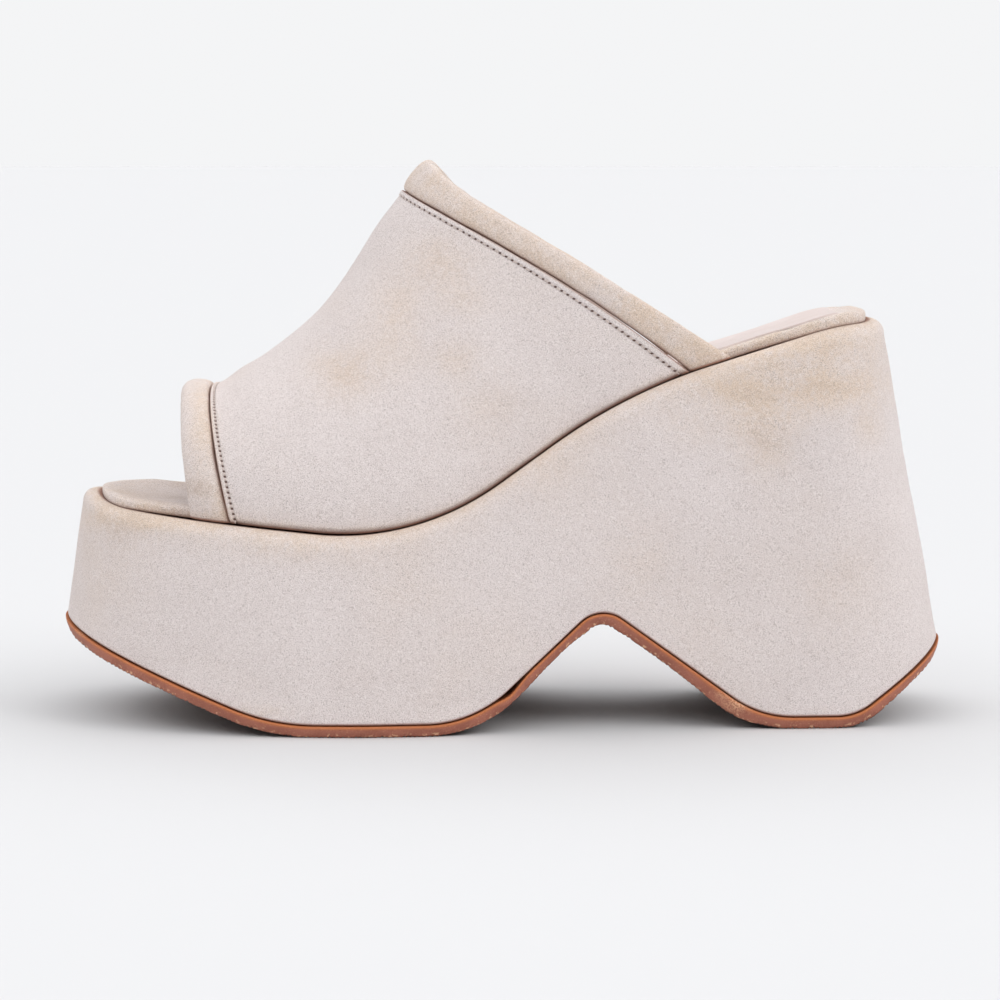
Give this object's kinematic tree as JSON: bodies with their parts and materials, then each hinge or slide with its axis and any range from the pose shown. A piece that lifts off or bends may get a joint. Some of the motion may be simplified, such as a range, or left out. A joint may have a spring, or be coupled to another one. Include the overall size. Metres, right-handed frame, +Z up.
{
  "type": "platform mule",
  "caption": "Slip-on platform mule: suede-covered wedge with a notched arch and raised toe, one wide padded vamp band, dished footbed with a rolled rim and a thin outsole.",
  "frame": {"origin": "on the floor under the middle of the outsole", "axes": "+X to the toe, +Y to the outer (lateral) side of the left foot, +Z up"},
  "size_m": [0.2726, 0.103, 0.1704],
  "materials": {
    "suede": "napped suede, matte",
    "smooth_leather": "smooth, satin",
    "outsole_rubber": "tan, moulded, matte"
  },
  "bodies": {
    "root": {"outsole": "outsole_rubber", "platform": "suede", "footbed": "suede", "heel_sock": "smooth_leather", "vamp": "suede", "toe_roll": "suede", "collar_roll": "suede"}
  },
  "joints": []
}
